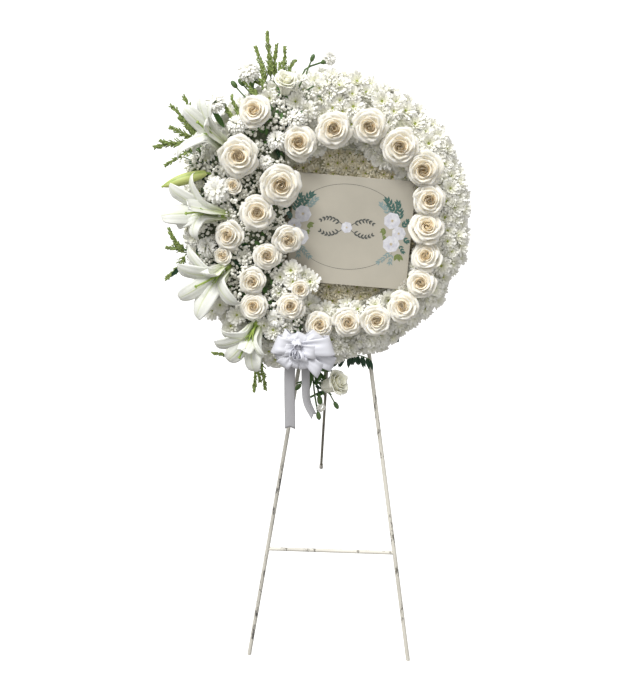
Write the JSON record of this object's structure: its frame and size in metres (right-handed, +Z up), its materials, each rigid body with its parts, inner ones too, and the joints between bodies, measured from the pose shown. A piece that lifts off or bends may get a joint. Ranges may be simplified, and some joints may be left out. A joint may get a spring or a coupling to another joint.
{
  "type": "funeral wreath",
  "caption": "Round white flower wreath with a message card, satin bow, rose ring and lily cluster, hung on a folding tripod easel for standing at a memorial.",
  "frame": {"origin": "middle of the bounding box's footprint, on the floor under the easel's feet", "axes": "+Z up from the floor to the top of the flowers; the wreath faces -Y, and +X runs to its right as seen from in front; the folding leg stands out towards +Y"},
  "size_m": [0.6542, 0.9072, 1.3757],
  "materials": {
    "stand_paint": "worn off-white paint",
    "foot_cap": "matt white plastic",
    "bolt_steel": "plain zinc-plated",
    "backing": "bare fibreboard",
    "foam": "white foam with a matt skin",
    "chrysanthemums": "soft matt petals",
    "roses": "ivory petals with tan hearts",
    "pale_flowers": "soft cream petals on green stems",
    "lilies": "waxy white petals with green ribs",
    "lily_bud": "waxy green bud",
    "babys_breath": "tiny white blooms over green stems",
    "greens": "matt green sprigs and leaves",
    "fern": "dark green leaf",
    "satin": "white satin ribbon",
    "card": "printed cream board",
    "card_pick": "bare bamboo"
  },
  "bodies": {
    "front_frame_and_wreath": {"leg_front_left": "stand_paint", "leg_front_right": "stand_paint", "cross_bar": "stand_paint", "top_bracket": "stand_paint", "hook_left": "stand_paint", "hook_right": "stand_paint", "pivot_bolt": "bolt_steel", "backing_board": "backing", "foam_base": "foam", "chrysanthemum_ring": "chrysanthemums", "chrysanthemum_centre": "chrysanthemums", "ring_rose_01": "roses", "ring_rose_02": "roses", "ring_rose_03": "roses", "ring_rose_04": "roses", "ring_rose_05": "roses", "ring_rose_06": "roses", "ring_rose_07": "roses", "ring_rose_08": "roses", "ring_rose_09": "roses", "ring_rose_10": "roses", "ring_rose_11": "roses", "ring_rose_12": "roses", "ring_rose_13": "roses", "cluster_rose_01": "roses", "cluster_rose_02": "roses", "cluster_rose_03": "roses", "cluster_rose_04": "roses", "cluster_rose_05": "roses", "cluster_rose_06": "roses", "cluster_rose_07": "roses", "cluster_rose_08": "roses", "cluster_rose_09": "roses", "cluster_rose_10": "roses", "top_rose": "pale_flowers", "hanging_rose": "pale_flowers", "carnation_left": "pale_flowers", "carnation_top": "pale_flowers", "carnation_spray": "pale_flowers", "lily_1": "lilies", "lily_2": "lilies", "lily_3": "lilies", "lily_4": "lilies", "lily_bud": "lily_bud", "babys_breath": "babys_breath", "greens_top": "greens", "greens_upper_left": "greens", "greens_left": "greens", "greens_lower_left": "greens", "hanging_stems": "greens", "fern_leaf": "fern", "bow_knot": "satin", "bow_loop_left": "satin", "bow_loop_right": "satin", "ribbon_tail_left": "satin", "ribbon_tail_right": "satin", "message_card": "card", "card_pick": "card_pick"},
    "folding_leg": {"leg_rear": "stand_paint", "foot_cap_rear": "foot_cap"}
  },
  "joints": [
    {"name": "rear_leg_fold", "type": "hinge", "parent": "front_frame_and_wreath", "child": "folding_leg", "pos_m": [0.06013, -0.1741, 1.15], "axis": [0.997, 0.0771, 0], "range_deg": [-38, 0]}
  ]
}
